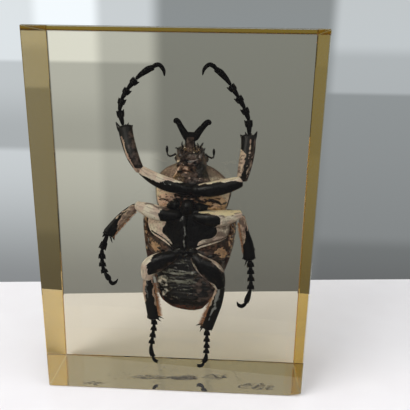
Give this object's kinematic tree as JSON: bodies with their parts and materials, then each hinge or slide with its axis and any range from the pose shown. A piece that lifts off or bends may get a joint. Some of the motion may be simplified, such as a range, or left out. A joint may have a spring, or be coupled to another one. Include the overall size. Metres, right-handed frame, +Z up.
{
  "type": "insect in resin block",
  "caption": "Clear, slightly yellowed resin block that stands on its narrow end, with a horned beetle cast inside, underside to the front.",
  "frame": {"origin": "middle of the bottom face", "axes": "+Z up the block, the beetle's head end up; -Y out of the viewing face, which shows the beetle's underside; +X to the viewer's right"},
  "size_m": [0.118, 0.046, 0.16],
  "materials": {
    "resin": "polished clear casting resin, faintly yellowed",
    "black_cuticle": "glossy black beetle cuticle with fine punctures",
    "cream_cuticle": "velvety cream and yellow beetle cuticle with dark edges",
    "brown_cuticle": "satin red-brown beetle cuticle",
    "hair": "orange-brown hair fringes",
    "eye": "glossy dark faceted eye",
    "residue": "thin dried smears and scuffs on the polished faces"
  },
  "bodies": {
    "root": {"resin_block": "resin"}
  },
  "joints": []
}
